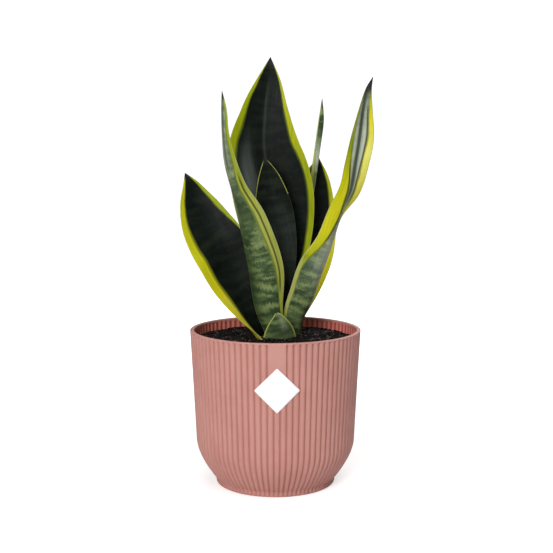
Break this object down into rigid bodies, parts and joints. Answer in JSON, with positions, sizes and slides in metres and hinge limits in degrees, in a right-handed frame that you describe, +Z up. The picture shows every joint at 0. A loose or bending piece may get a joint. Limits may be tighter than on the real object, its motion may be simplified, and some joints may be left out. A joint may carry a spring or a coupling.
{
  "type": "potted snake plant",
  "caption": "Snake plant with stiff upright yellow-edged leaves in dark soil, in a fluted round dusty-pink pot with a blank diamond label.",
  "frame": {"origin": "centre of the pot's flat underside, on the pot's axis", "axes": "+Z up along the pot's axis; the label and the pot's plain front strip face -Y; +X to the right seen from the front"},
  "size_m": [0.1533, 0.14, 0.349],
  "materials": {
    "pot": "matte",
    "label": "satin",
    "soil": "matte",
    "rhizome": "matte",
    "leaf": "satin"
  },
  "bodies": {
    "root": {"pot": "pot", "label": "label", "soil": "soil", "rhizome": "rhizome", "leaf_back_tall": "leaf", "leaf_front_left": "leaf", "leaf_centre_short": "leaf", "leaf_left": "leaf", "leaf_right_twisted": "leaf", "leaf_front_stub": "leaf", "leaf_back_right": "leaf", "leaf_back_narrow": "leaf"}
  },
  "joints": []
}
